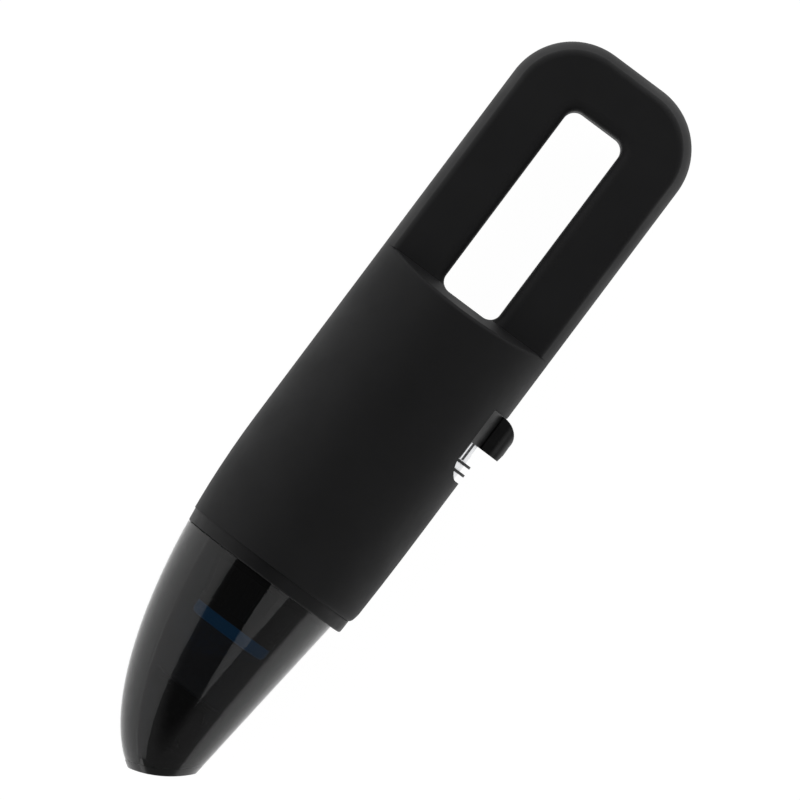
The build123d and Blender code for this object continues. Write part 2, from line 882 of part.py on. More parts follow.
def slide_switch():
    x = (switch_top_x - switch_depth, switch_top_x)
    y = switch_span()
    half = switch_width / 2
    body = block(x, y, (-half, half))
    start = lever_start_y()
    slot_y = (start - slider_travel - 0.3, start + lever_width + 0.3)
    body -= block(
        (x[1] - 2.1, x[1] + 1), slot_y, (-lever_width / 2 - 0.3, lever_width / 2 + 0.3))
    for y_pin in (y[0] + 2.5, y[0] + 6.5, y[0] + 10.5):
        body += block((x[0] - 2.5, x[0] + 0.5), (y_pin - 0.3, y_pin + 0.3), (-1, 1))
    return body


# Fan and motor

def fan_shroud():
    front = shroud_front_y
    shroud = oval_bar(front, front + shroud_wall, sleeve_half_width - fit, sleeve_half_depth - fit)
    end = motor_front_y - 1
    shroud += round_bar(front, end, shroud_radius)
    shroud -= round_bar(front + shroud_wall, end + 1, shroud_radius - shroud_wall)
    return shroud - round_bar(front - 1, end, fan_eye_radius)


def impeller():
    back = fan_back_y
    wheel = round_bar(back - fan_disc, back, fan_radius)
    blade = across(fan_front_y) * (
        (Circle(blade_curve + blade_thickness / 2) - Circle(blade_curve - blade_thickness / 2)))
    bar = Pos(blade_curve + 0.5, 0, 0) * extrude(blade, fan_depth - fan_disc / 2)
    bar &= tube(fan_front_y - 1, back, fan_radius - 0.3, 5.0)
    bar &= block((-body_width, body_width), (fan_front_y - 1, back), (0, body_depth))
    for i in range(blade_count):
        wheel += bar.rotate(Axis((0, 0, axis_z), (0, 1, 0)), 360 * i / blade_count)
    rim = fan_radius + 1
    rake = Polyline((0, 0), (rim, 0), (rim, 3.5), (fan_eye_radius, 0.2), (0, 0.2), close=True)
    wheel -= revolve(Pos(0, fan_front_y, axis_z) * make_face(rake), Axis((0, 0, axis_z), (0, 1, 0)))
    wheel += round_bar(fan_front_y + 0.2, back + 0.5, 5.6)
    return wheel - round_bar(fan_front_y - 1, back + 2, shaft_radius + bearing_fit)


def impeller_nut():
    y0 = fan_front_y - 2.8
    nut = extrude(across(y0) * RegularPolygon(3.4, 6), 2.9)
    return nut - round_bar(y0 - 1, y0 + 4, shaft_radius + bearing_fit)


def diffuser():
    radius = shroud_radius - shroud_wall - fit
    disc = round_bar(diffuser_y, diffuser_y + 1.6, radius)
    for i in range(diffuser_slots):
        slot = across(diffuser_y - 1) * (
            Rot(0, 0, 360 * i / diffuser_slots) * Pos(radius - 4, 0) * Rot(0, 0, 55) * SlotOverall(7.5, 2.2))
        disc -= extrude(slot, 4)
    ring = tube(diffuser_y, motor_front_y - 1, radius, radius - 1.4)
    hub = round_bar(diffuser_y, motor_front_y - fit / 2, 12.5)
    body = disc + ring + hub
    body -= round_bar(diffuser_y - 1, motor_front_y + 1, bearing_radius + 0.6)
    for side in (-1, 1):
        hole = round_bar(diffuser_y - 1, motor_front_y + 1, motor_screw_radius + fit)
        body -= Pos(side * motor_screw_reach, 0, 0) * hole
    return body


def motor_screws():
    screws = []
    for side in (-1, 1):
        head = round_bar(diffuser_y - 1.3, diffuser_y - 0.02, 2.5)
        screw = head + round_bar(diffuser_y - 0.5, motor_front_y + 5, motor_screw_radius)
        screw -= block((-1.6, 1.6), (diffuser_y - 2, diffuser_y - 0.7), (-0.4, 0.4))
        screws.append(Pos(side * motor_screw_reach, 0, 0) * screw)
    return Compound(screws)


def motor_can():
    can = round_bar(motor_front_y, motor_end_y, motor_radius)
    can = fillet(can.edges().group_by(Axis.Y)[0], 1.5)
    can -= round_bar(motor_front_y + 1.6, motor_end_y + 1, motor_radius - motor_skin)
    can += round_bar(motor_front_y - 1.5, motor_front_y + 3.5, bearing_radius + 0.5)
    can -= round_bar(motor_front_y - 2, motor_front_y + 4, bearing_radius + 0.01)
    for side in (-1, 1):
        hole = round_bar(motor_front_y - 1, motor_front_y + 3, motor_screw_radius + fit / 2)
        can -= Pos(side * motor_screw_reach, 0, 0) * hole
    return can


def motor_end_cap():
    cap = round_bar(motor_end_y, motor_end_y + 2.5, motor_radius)
    cap += round_bar(motor_end_y - end_cap_length, motor_end_y, motor_radius - motor_skin - 0.05)
    cap -= round_bar(motor_end_y - end_cap_length - 1, motor_end_y, motor_radius - motor_skin - 1.6)
    cap += round_bar(motor_end_y - 1, motor_end_y + 5, bearing_radius + 2)
    cap -= round_bar(motor_end_y - 3, motor_end_y + 6, bearing_radius + 0.01)
    y = brush_y()
    for side in (-1, 1):
        x = sorted((side * 7.5, side * (motor_radius - motor_skin - 1)))
        holder = block(x, (y - brush_width / 2 - 1, motor_end_y), (-3.2, 3.2))
        holder -= block(x, (y - brush_width / 2 - fit, y + brush_width / 2 + fit), (-2.2, 2.2))
        cap += holder
        tab_x = sorted((side * 10.0, side * 10.8))
        cap += block(tab_x, (motor_end_y, motor_end_y + 6.5), (-2.4, 2.4))
    return cap


def brush_y():
    return motor_end_y - end_cap_length - 1.5


def motor_brushes():
    y = brush_y()
    pieces = []
    for side in (-1, 1):
        x = sorted((side * (commutator_radius - 1), side * 13.0))
        brush = block(x, (y - brush_width / 2, y + brush_width / 2), (-2.1, 2.1))
        pieces.append(brush - round_bar(y - brush_width, y + brush_width, commutator_radius + 0.05))
    return Compound(pieces)


def motor_bearings():
    spans = (
        (motor_front_y - 1.4, motor_front_y - 1.4 + bearing_length),
        (motor_end_y - 0.4, motor_end_y - 0.4 + bearing_length))
    return Compound([tube(a, b, bearing_radius, shaft_radius + bearing_fit) for a, b in spans])


def motor_magnets():
    outer = motor_radius - motor_skin - fit / 2
    middle = (motor_front_y + motor_end_y) / 2 - 1
    y = (middle - magnet_length / 2, middle + magnet_length / 2)
    ring = tube(y[0], y[1], outer, outer - magnet_thickness)
    half = radians(magnet_angle / 2)
    reach = 2 * motor_radius
    pieces = []
    for side in (-1, 1):
        wedge = Polyline(
            (0, 0), (side * reach * cos(half), reach * sin(half)), (side * reach, reach * sin(half)),
            (side * reach, -reach * sin(half)), (side * reach * cos(half), -reach * sin(half)),
            close=True)
        pieces.append(ring & extrude(across(y[0]) * make_face(wedge), magnet_length))
    return Compound(pieces)


def core_radius():
    return motor_radius - motor_skin - magnet_thickness - magnet_gap


def core_span():
    middle = (motor_front_y + motor_end_y) / 2 - 2
    return middle - core_length / 2, middle + core_length / 2


def armature():
    """Laminated core: a hub with T-shaped poles."""
    y0, y1 = core_span()
    radius = core_radius()
    core = round_bar(y0, y1, 4.2)
    ring = tube(y0, y1, radius, radius - 2)
    pole = block((-1.5, 1.5), (y0, y1), (3, radius - 1))
    gap = block((-1.0, 1.0), (y0 - 1, y1 + 1), (radius - 3, radius + 1))
    axis = Axis((0, 0, axis_z), (0, 1, 0))
    for i in range(pole_count):
        core += pole.rotate(axis, 360 * i / pole_count)
        ring -= gap.rotate(axis, 360 * (i + 0.5) / pole_count)
    core += ring
    return core - round_bar(y0 - 1, y1 + 1, shaft_radius + 0.01)


def armature_windings():
    """Coils wound round each pole, standing a little out of the core at both ends."""
    y0, y1 = core_span()
    radius = core_radius()
    coil = block((-3.1, 3.1), (y0 - 2.5, y1 + 2.5), (5.4, radius - 2.7))
    coil = fillet(coil.edges().filter_by(Axis.Z), 2.0)
    coil -= block((-1.6, 1.6), (y0 - 0.1, y1 + 0.1), (5, radius))
    axis = Axis((0, 0, axis_z), (0, 1, 0))
    return Compound([coil.rotate(axis, 360 * i / pole_count) for i in range(pole_count)])


def commutator():
    y = brush_y()
    bar = tube(y - commutator_length / 2, y + commutator_length / 2, commutator_radius, shaft_radius + 0.01)
    slit = block((-0.25, 0.25), (y - commutator_length, y + commutator_length), (3.6, 6))
    axis = Axis((0, 0, axis_z), (0, 1, 0))
    for i in range(pole_count):
        bar -= slit.rotate(axis, 360 * i / pole_count)
    return bar


def motor_shaft():
    start = fan_front_y - 3.4
    return round_bar(start, motor_end_y + bearing_length + 1, shaft_radius)


def motor_mounts():
    """Rubber rings round the motor, grooved for the shell's ribs."""
    rings = []
    for y in mount_ys:
        half = mount_width / 2
        ring = tube(y - half, y + half, mount_radius, motor_radius + 0.02)
        groove = rib_thickness / 2 + fit
        ring -= tube(y - groove, y + groove, mount_radius + 1, mount_radius - mount_groove)
        rings.append(ring)
    return Compound(rings)


# Battery, board and wires

def battery_cell(side):
    """Steel can with its crimp groove and raised contact."""
    axis = Axis((0, 0, axis_z), (0, 1, 0))
    r = cell_radius
    outline = Polyline(
        (0, 0), (r, 0), (r, cell_length - 5), (r - 0.9, cell_length - 4.2), (r, cell_length - 3.4),
        (r, cell_length - 1), (r - 1, cell_length - 0.6), (3.2, cell_length - 0.6), (3, cell_length),
        (0, cell_length), close=True)
    cell = revolve(Pos(0, cell_front_y, axis_z) * make_face(outline), axis)
    if side > 0:
        return Pos(side * leg_x, 0, 0) * cell
    middle = cell_front_y + cell_length / 2
    return Pos(side * leg_x, 0, 0) * mirror(cell, Plane.XZ.offset(-middle))


def wire(points, radius=wire_radius):
    path = FilletPolyline(*points, radius=wire_bend)
    start = Plane(origin=path @ 0, z_dir=path % 0)
    return sweep(start * Circle(radius), path=path)


def battery_link():
    """Heavy wire that joins the two cells round the end of the loop, with its welded tabs."""
    far_y = cell_front_y + cell_length
    turn_y = slot_end_y + wall + 3.2
    route = [
        (leg_x, far_y + 0.3, axis_z), (leg_x, turn_y, axis_z), (-leg_x, turn_y, axis_z),
        (-leg_x, far_y + 0.3, axis_z)]
    link = wire(route, wire_radius + 0.2)
    for side in (-1, 1):
        x = side * leg_x
        link += block((x - 3, x + 3), (far_y + fit / 2, far_y + 0.35), (-2.5, 2.5))
    return link


def battery_leads():
    leads = []
    for side in (-1, 1):
        board_end = (side * (board_half_width - 3), board_front_y + board_length / 2)
        top = axis_z + board_z + board_thickness
        x = side * leg_x
        route = [
            (x, cell_front_y - 0.4, axis_z), (x, cell_front_y - 8, axis_z),
            (board_end[0], board_end[1], axis_z), (board_end[0], board_end[1], top + 0.1)]
        leads.append(wire(route) + block(
            (x - 3, x + 3), (cell_front_y - 0.45, cell_front_y - fit / 2), (-2.5, 2.5)))
    return Compound(leads)


def motor_leads():
    leads = []
    for side in (-1, 1):
        top = axis_z + board_z + board_thickness
        tab_y = motor_end_y + 6
        x = side * 10.4
        end = (side * 7, board_front_y + 4)
        route = [
            (x, tab_y - 1, axis_z + 3.3), (x, end[1] + 1, axis_z + 3.3),
            (end[0], end[1] + 5, axis_z + 3.3), (end[0], end[1] + 5, top + 0.1)]
        leads.append(wire(route))
    return Compound(leads)


def control_board():
    top = board_z + board_thickness
    board = block(
        (-board_half_width, board_half_width), (board_front_y, board_front_y + board_length),
        (board_z + fit / 2, top))
    board += block(
        (slider_clearance - skin_x(wall, board_drop), 1 - board_half_width),
        (port_y - port_half_length, port_y + port_half_length),
        (board_z + fit / 2, top))
    for x, y in post_spots():
        board -= upright(x, y, axis_z + board_z - 1, axis_z + top + 1, motor_screw_radius + fit)
    return board


def board_parts():
    """Driver chip, charging chip, coil and two small blocks."""
    top = board_z + board_thickness
    pieces = []
    for x, back, size in ((-3.2, 6.0, (5, 6, 1.4)), (5, 5.5, (4, 4, 1.0)), (12, 5.0, (3, 2, 0.9))):
        y = board_front_y + back
        pieces.append(block(
            (x - size[0] / 2, x + size[0] / 2), (y - size[1] / 2, y + size[1] / 2), (top, top + size[2])))
    coil = upright(
        -board_half_width / 2, board_front_y + coil_back, axis_z + top, axis_z + top + coil_radius,
        coil_radius)
    pieces.append(fillet(coil.edges().group_by(Axis.Z)[-1], 0.6))
    return Compound(pieces)


def board_screws():
    top = axis_z + board_z + board_thickness
    screws = []
    for x, y in post_spots():
        screw = upright(x, y, top + 0.02, top + 1.4, 2.4)
        screw += upright(x, y, top - 6, top + 0.5, motor_screw_radius)
        screw -= Pos(x, y, top + 1.4) * Box(2.6, 0.6, 1.2)
        screws.append(screw)
    return Compound(screws)


def charge_port():
    """Metal shell of the charging socket with its middle tongue."""
    spot = Plane(origin=(port_mouth_x, port_y, axis_z + port_z), x_dir=(0, 1, 0), z_dir=(1, 0, 0))
    outer = SlotOverall(2 * port_half_length, 2 * port_half_height)
    inner = SlotOverall(2 * port_half_length - 0.6, 2 * port_half_height - 0.6)
    body = extrude(spot * (outer - inner), port_depth)
    rear = Pos(port_depth - 1.2, 0, 0) * extrude(spot * inner, 1.2)
    tongue_bar = extrude(spot * Rectangle(6.4, 0.7), port_depth - 0.8)
    tongue_bar = Pos(0.8, 0, 0) * tongue_bar
    return body + rear + tongue_bar


front_shell, back_shell = shells()
parts = {
    "front_shell": front_shell,
    "back_shell": back_shell,
    "shell_screws": Compound([shell_screw(x, y) for x, y in screw_spots()]),
    "exhaust_foam": exhaust_foam(),
    "collar_ring": collar_ring(),
    "dust_cup": dust_cup(),
    "mouth_lip": mouth_lip(),
    "inlet_duct": inlet_duct(),
    "inlet_flap": inlet_flap(),
    "flap_pin": flap_pin(),
    "cup_seal": seal_band(0, seal_depth, 0.5),
    "filter_frame": filter_frame(),
    "filter_pleats": filter_pleats(),
    "filter_cap": filter_cap(),
    "switch_track": switch_track(),
    "power_slider": slider(),
    "switch_lever": lever(),
    "slide_switch": slide_switch(),
    "fan_shroud": fan_shroud(),
    "impeller": impeller(),
    "impeller_nut": impeller_nut(),
    "diffuser": diffuser(),
    "motor_screws": motor_screws(),
    "motor_can": motor_can(),
    "motor_end_cap": motor_end_cap(),
    "motor_brushes": motor_brushes(),
    "motor_bearings": motor_bearings(),
    "motor_magnets": motor_magnets(),
    "motor_mounts": motor_mounts(),
    "motor_shaft": motor_shaft(),
    "armature": armature(),
    "armature_windings": armature_windings(),
    "commutator": commutator(),
    "battery_cell_left": battery_cell(-1),
    "battery_cell_right": battery_cell(1),
    "battery_link": battery_link(),
    "battery_leads": battery_leads(),
    "motor_leads": motor_leads(),
    "control_board": control_board(),
    "board_parts": board_parts(),
    "board_screws": board_screws(),
    "charge_port": charge_port(),
}

os.makedirs("parts", exist_ok=True)
for name, shape in parts.items():
    export_step(shape, "parts/" + name + ".step")
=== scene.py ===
import math
import bmesh
import bpy
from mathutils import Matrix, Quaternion, Vector


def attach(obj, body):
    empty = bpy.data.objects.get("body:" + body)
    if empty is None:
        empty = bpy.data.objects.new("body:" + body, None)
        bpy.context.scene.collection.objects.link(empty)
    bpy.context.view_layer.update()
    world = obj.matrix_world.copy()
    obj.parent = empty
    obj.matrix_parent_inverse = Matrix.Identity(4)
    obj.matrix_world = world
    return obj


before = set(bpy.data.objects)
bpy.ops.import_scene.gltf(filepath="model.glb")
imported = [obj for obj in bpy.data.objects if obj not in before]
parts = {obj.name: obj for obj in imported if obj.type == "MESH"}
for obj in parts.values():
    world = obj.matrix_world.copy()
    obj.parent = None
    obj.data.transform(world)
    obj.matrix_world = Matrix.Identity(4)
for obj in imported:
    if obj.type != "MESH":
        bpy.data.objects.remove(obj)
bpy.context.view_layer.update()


# Housing: two moulded ABS shells under a soft-touch lacquer, screwed together from the back. Ribs
# inside them hold the motor and the cells, and posts hold the board, so the shells come first.

def linear(colour):
    """An sRGB hex colour as the linear values that Blender's sockets take."""
    channels = [int(colour[i:i + 2], 16) / 255 for i in (1, 3, 5)]
    return tuple(c / 12.92 if c <= 0.04045 else ((c + 0.055) / 1.055) ** 2.4 for c in channels) + (1,)


def add(owner, kind, settings, links=()):
    """Adds a node; settings name sockets or properties, links pair a socket with a node's output."""
    node = owner.node_tree.nodes.new("ShaderNode" + kind)
    for name, value in settings.items():
        if isinstance(name, int) or name in node.inputs:
            node.inputs[name].default_value = value
        else:
            setattr(node, name, value)
    for socket, source in dict(links).items():
        owner.node_tree.links.new(source, node.inputs[socket])
    return node


def finish_named(name, colour, roughness, metallic=0.0, ior=1.5):
    """A new material with one Principled shader, and the object coordinates its patterns use."""
    material = bpy.data.materials.new(name)
    material.use_nodes = True
    shader = material.node_tree.nodes["Principled BSDF"]
    shader.inputs["Base Color"].default_value = linear(colour)
    shader.inputs["Roughness"].default_value = roughness
    shader.inputs["Metallic"].default_value = metallic
    shader.inputs["IOR"].default_value = ior
    place = add(material, "TexCoord", {}).outputs["Object"]
    return material, shader, place


def grain(material, shader, place, size_mm, depth_mm, detail=2.0):
    """Moulded, cast or ground grain as bump, at the size that it is drawn and with its depth."""
    noise = add(material, "TexNoise", {"Scale": 1000 / size_mm, "Detail": detail}, {"Vector": place})
    bump = add(
        material, "Bump", {"Strength": 1.0, "Distance": depth_mm / 1000},
        {"Height": noise.outputs["Fac"]})
    material.node_tree.links.new(bump.outputs["Normal"], shader.inputs["Normal"])


# Most of a noise lies between these two values, so a range is spread over them alone.
noise_middle = (0.35, 0.65)


def vary(material, source, target, low, high):
    """Spreads a pattern's middle values over a range of a socket."""
    spread = add(
        material, "MapRange",
        {"From Min": noise_middle[0], "From Max": noise_middle[1], "To Min": low, "To Max": high},
        {"Value": source})
    material.node_tree.links.new(spread.outputs["Result"], target)


def blotch(material, place, size_mm):
    """Slow variation over the surface, such as handling marks or uneven pigment."""
    noise = add(
        material, "TexNoise", {"Scale": 1000 / size_mm, "Detail": 3.0, "Roughness": 0.6},
        {"Vector": place})
    return noise.outputs["Fac"]


def tint(material, shader, pattern, dark, light):
    """Base colour between two hex colours along a pattern."""
    ramp = add(material, "ValToRGB", {}, {"Fac": pattern})
    for stop, position, colour in zip(ramp.color_ramp.elements, noise_middle, (dark, light)):
        stop.position = position
        stop.color = linear(colour)
    material.node_tree.links.new(ramp.outputs["Color"], shader.inputs["Base Color"])


def dress(material, *names):
    """Gives CAD nodes this finish."""
    for name in names:
        mesh = parts[name].data
        if not mesh.materials:
            mesh.materials.append(material)
        for i in range(len(mesh.materials)):
            mesh.materials[i] = material


# Soft-touch lacquer: polyurethane with matting beads. It gives a velvety black with a wide, weak
# highlight. The beads are 0.03 mm, too fine to show, so they are drawn ten times as coarse.
soft_touch, shader, place = finish_named("soft_touch_lacquer_sprayed", "#1e1e1f", 0.62, ior=1.33)
grain(soft_touch, shader, place, size_mm=0.3, depth_mm=0.004)
vary(soft_touch, blotch(soft_touch, place, size_mm=22.0), shader.inputs["Roughness"], 0.58, 0.66)
tint(soft_touch, shader, blotch(soft_touch, place, size_mm=35.0), "#1c1c1d", "#202021")
dress(soft_touch, "front_shell", "back_shell")


# Screws: pan-head steel screws, plated with zinc. Those that close the shells show on the back and
# are black. Those that hold the board on its posts and the diffuser on the motor are bright, and so
# is the fan's nut.

# Black zinc: a dark sheen, a little uneven. Its grain is too fine to show, so it is drawn at 0.25 mm.
black_zinc, shader, place = finish_named("steel_black_zinc_plated", "#2f2f31", 0.38, metallic=1.0)
grain(black_zinc, shader, place, size_mm=0.25, depth_mm=0.006)
vary(black_zinc, blotch(black_zinc, place, size_mm=1.5), shader.inputs["Roughness"], 0.3, 0.46)
dress(black_zinc, "shell_screws")

# Bright zinc: a cool gleam, cloudy in places. Its grain is drawn at 0.3 mm, for the same reason.
bright_zinc, shader, place = finish_named("steel_bright_zinc_plated", "#c9cbd0", 0.3, metallic=1.0)
grain(bright_zinc, shader, place, size_mm=0.3, depth_mm=0.004)
vary(bright_zinc, blotch(bright_zinc, place, size_mm=1.5), shader.inputs["Roughness"], 0.22, 0.38)
dress(bright_zinc, "board_screws", "motor_screws", "impeller_nut")


# Motor: a brushed can motor whose shaft runs in two bronze bushes. Two rubber rings hold it in
# grooves of the housing's ribs. Every grain here is too fine to show, so each is drawn coarser.

# Ground steel: a bright, clean gleam, blurred a little by marks drawn at 0.2 mm.
turned = finish_named("steel_ground_shaft", "#d4d4d6", 0.18, metallic=1.0)
grain(*turned, size_mm=0.2, depth_mm=0.002)
dress(turned[0], "motor_shaft", "flap_pin")

# Drawn and zinc-plated steel: soft grey with faint lines along the draw. At 1800 and 60 to the metre,
# they are drawn 0.56 mm across and 17 mm long.
draw_marks_per_metre = (1800.0, 60.0, 1800.0)
can_steel, shader, place = finish_named("steel_can_drawn_zinc", "#a9abac", 0.34, metallic=1.0)
draw_lines = add(can_steel, "Mapping", {"Scale": draw_marks_per_metre}, {"Vector": place})
lines = add(can_steel, "TexNoise", {"Scale": 1.0, "Detail": 3.0}, {"Vector": draw_lines.outputs[0]})
vary(can_steel, lines.outputs["Fac"], shader.inputs["Roughness"], 0.26, 0.42)
bump = add(can_steel, "Bump", {"Distance": 0.000006}, {"Height": lines.outputs["Fac"]})
can_steel.node_tree.links.new(bump.outputs["Normal"], shader.inputs["Normal"])
dress(can_steel, "motor_can")

# Glass-filled nylon: black, dulled and mottled where fibres lie under the skin. The mottle is drawn at
# 0.5 to 0.8 mm.
nylon, shader, place = finish_named("nylon_glass_filled_moulded", "#1d1d1e", 0.55, ior=1.53)
grain(nylon, shader, place, size_mm=0.5, depth_mm=0.02, detail=4.0)
tint(nylon, shader, blotch(nylon, place, size_mm=0.8), "#191919", "#272728")
vary(nylon, blotch(nylon, place, size_mm=6.0), shader.inputs["Roughness"], 0.45, 0.65)
dress(nylon, "motor_end_cap", "fan_shroud", "diffuser", "slide_switch", "switch_lever")

# Pressed carbon: a dull black with brownish specks, drawn at 0.25 to 0.5 mm.
carbon, shader, place = finish_named("carbon_brush_pressed", "#262524", 0.6, ior=1.8)
grain(carbon, shader, place, size_mm=0.25, depth_mm=0.02, detail=5.0)
tint(carbon, shader, blotch(carbon, place, size_mm=0.5), "#1f1e1e", "#33302d")
dress(carbon, "motor_brushes")

# Sintered bronze: brown gold, dulled and speckled by pores that hold oil, drawn at 0.25 to 0.6 mm.
bronze, shader, place = finish_named("bronze_sintered_oiled", "#a8743f", 0.42, metallic=1.0)
grain(bronze, shader, place, size_mm=0.25, depth_mm=0.015, detail=5.0)
tint(bronze, shader, blotch(bronze, place, size_mm=0.6), "#8a5c30", "#b98450")
dress(bronze, "motor_bearings")

# Ground ferrite: dark grey with a stony sheen, its grain drawn at 0.3 mm.
ferrite, shader, place = finish_named("ferrite_magnet_ground", "#3a3a3d", 0.5, ior=2.0)
grain(ferrite, shader, place, size_mm=0.3, depth_mm=0.012, detail=4.0)
tint(ferrite, shader, blotch(ferrite, place, size_mm=1.2), "#323234", "#454548")
dress(ferrite, "motor_magnets")

# Moulded nitrile rubber: a flat black with a faint bloom, its skin drawn at 0.4 mm.
rubber, shader, place = finish_named("nitrile_rubber_moulded", "#161616", 0.7, ior=1.52)
grain(rubber, shader, place, size_mm=0.4, depth_mm=0.02, detail=3.0)
tint(rubber, shader, blotch(rubber, place, size_mm=5.0), "#121212", "#1e1e1e")
dress(rubber, "motor_mounts")


def band_scale(size_mm):
    """The wave texture's scale for bands 2 pi times as wide as a real size, so that they show."""
    return 1000 / size_mm / 20


# Laminations: electrical steel punched 0.5 mm thick and stacked along the shaft. It gives light rings
# between dark gaps, drawn about six times as wide as they are.
laminations, shader, place = finish_named("electrical_steel_stacked", "#8b8d90", 0.4, metallic=1.0)
stack = add(
    laminations, "TexWave", {"bands_direction": "Y", "Scale": band_scale(0.5), "Distortion": 0.4},
    {"Vector": place})
tint(laminations, shader, stack.outputs["Fac"], "#5c5e61", "#a3a5a8")
bump = add(laminations, "Bump", {"Distance": 0.00004}, {"Height": stack.outputs["Fac"]})
laminations.node_tree.links.new(bump.outputs["Normal"], shader.inputs["Normal"])
dress(laminations, "armature")

# Windings: 0.35 mm copper wire laid side by side along the core. Its enamel gives a warm gloss. The
# turns are drawn about six times as wide as they are.
enamel_wire, shader, place = finish_named("copper_wire_enamelled", "#a4532a", 0.28, metallic=0.9)
turns = add(
    enamel_wire, "TexWave", {"bands_direction": "X", "Scale": band_scale(0.35), "Distortion": 1.2},
    {"Vector": place})
tint(enamel_wire, shader, turns.outputs["Fac"], "#5e2710", "#c06a36")
bump = add(enamel_wire, "Bump", {"Distance": 0.00012}, {"Height": turns.outputs["Fac"]})
enamel_wire.node_tree.links.new(bump.outputs["Normal"], shader.inputs["Normal"])
dress(enamel_wire, "armature_windings")

# Turned copper: an orange gleam in rings, where the brushes run. The rings are 0.3 mm apart and drawn
# about six times as wide.
copper, shader, place = finish_named("copper_commutator_turned", "#b9704a", 0.3, metallic=1.0)
ring_lines = add(
    copper, "TexWave", {"bands_direction": "Y", "Scale": band_scale(0.3), "Distortion": 1.0},
    {"Vector": place})
tint(copper, shader, ring_lines.outputs["Fac"], "#9a5836", "#c98560")
dress(copper, "commutator")


# Fan: a nine-blade impeller moulded in grey ABS and held on the shaft by a nut. Its polished mould
# gives an even, soft gloss. The skin's faint waves are drawn at 0.8 mm.

fan_plastic, shader, place = finish_named("abs_fan_moulded_gloss", "#8c8f92", 0.3)
grain(fan_plastic, shader, place, size_mm=0.8, depth_mm=0.01)
tint(fan_plastic, shader, blotch(fan_plastic, place, size_mm=9.0), "#84878b", "#96999c")
dress(fan_plastic, "impeller")


# Battery: two 18650 cells in shrink sleeves, one in each leg of the loop, held by ribs. Insulated
# wire joins them round the end of the loop, joins each to the board, and the board to the motor.

# Shrunk PVC film: teal, with a wavy gloss whose waves are 2.5 mm apart.
sleeve, shader, place = finish_named("pvc_shrink_sleeve", "#2c7f8c", 0.32, ior=1.54)
grain(sleeve, shader, place, size_mm=2.5, depth_mm=0.02, detail=4.0)
tint(sleeve, shader, blotch(sleeve, place, size_mm=12.0), "#27737f", "#318b99")
dress(sleeve, "battery_cell_left", "battery_cell_right")

# Extruded silicone: a deep red with a low, greasy sheen. Its skin is too fine to show, so it is drawn
# at 0.4 mm.
lead, shader, place = finish_named("silicone_wire_extruded", "#7d1a17", 0.45, ior=1.41)
grain(lead, shader, place, size_mm=0.4, depth_mm=0.01)
tint(lead, shader, blotch(lead, place, size_mm=6.0), "#741612", "#8a211d")
dress(lead, "battery_leads", "motor_leads", "battery_link")


# Control board: FR4 under green solder mask, screwed to posts of the back shell, with its chips. The
# charging socket is a plated steel stamping in the housing's left edge.

# Solder mask: glossy green with the copper tracks paler under it. One unit of the brick pattern is
# 6 mm, which leaves tracks about 1 mm wide.
track_layout_mm = 6.0
board, shader, place = finish_named("fr4_green_solder_mask", "#1f5a36", 0.3, ior=1.55)
tracks = add(
    board, "TexBrick",
    {"Scale": 1000 / track_layout_mm, "Mortar Size": 0.08, "Color1": linear("#1d5533"),
     "Color2": linear("#236441"), "Mortar": linear("#3c8a57"), "offset": 0.35},
    {"Vector": place})
board.node_tree.links.new(tracks.outputs["Color"], shader.inputs["Base Color"])
bump = add(board, "Bump", {"Distance": 0.00003}, {"Height": tracks.outputs["Fac"]})
board.node_tree.links.new(bump.outputs["Normal"], shader.inputs["Normal"])
dress(board, "control_board")

# Moulded epoxy: a matt near-black with fine specks, drawn at 0.2 to 0.7 mm so that they show.
epoxy, shader, place = finish_named("epoxy_package_moulded", "#1b1b1d", 0.5, ior=1.55)
grain(epoxy, shader, place, size_mm=0.2, depth_mm=0.01, detail=4.0)
tint(epoxy, shader, blotch(epoxy, place, size_mm=0.7), "#171719", "#26262a")
dress(epoxy, "board_parts")

# Nickel plate: a warm, pale gleam, cloudy in places. Its grain is drawn at 0.6 mm so that it shows.
nickel, shader, place = finish_named("nickel_plated_stamping", "#c3bfb6", 0.24, metallic=1.0)
grain(nickel, shader, place, size_mm=0.6, depth_mm=0.004)
vary(nickel, blotch(nickel, place, size_mm=3.0), shader.inputs["Roughness"], 0.18, 0.32)
dress(nickel, "charge_port")


# Exhaust foam: a pad of open-cell polyurethane, cut to fit behind the vents. Its cells are about
# 1.2 mm wide. Their holes are painted dark as shade, round paler walls.

cell_mm = 1.2
wall_share = 0.25
foam, shader, place = finish_named("polyurethane_foam_open_cell", "#2b2b2d", 0.9, ior=1.45)
cells = add(
    foam, "TexVoronoi", {"feature": "DISTANCE_TO_EDGE", "Scale": 1000 / cell_mm}, {"Vector": place})
# Painted shade: the colour darkens from the cell walls into the holes, where shade falls.
painted_cell_shade = add(foam, "ValToRGB", {}, {"Fac": cells.outputs["Distance"]})
painted_cell_shade.color_ramp.elements[0].color = linear("#4a4a4d")
painted_cell_shade.color_ramp.elements[1].position = wall_share
painted_cell_shade.color_ramp.elements[1].color = linear("#0b0b0c")
foam.node_tree.links.new(painted_cell_shade.outputs["Color"], shader.inputs["Base Color"])
bump = add(
    foam, "Bump", {"Distance": 0.0004, "invert": True}, {"Height": cells.outputs["Distance"]})
foam.node_tree.links.new(bump.outputs["Normal"], shader.inputs["Normal"])
dress(foam, "exhaust_foam")


# Power slider and the bright track it runs in. The track is stamped aluminium, satin polished along
# its length; the slider is moulded ABS with a fine satin grain.

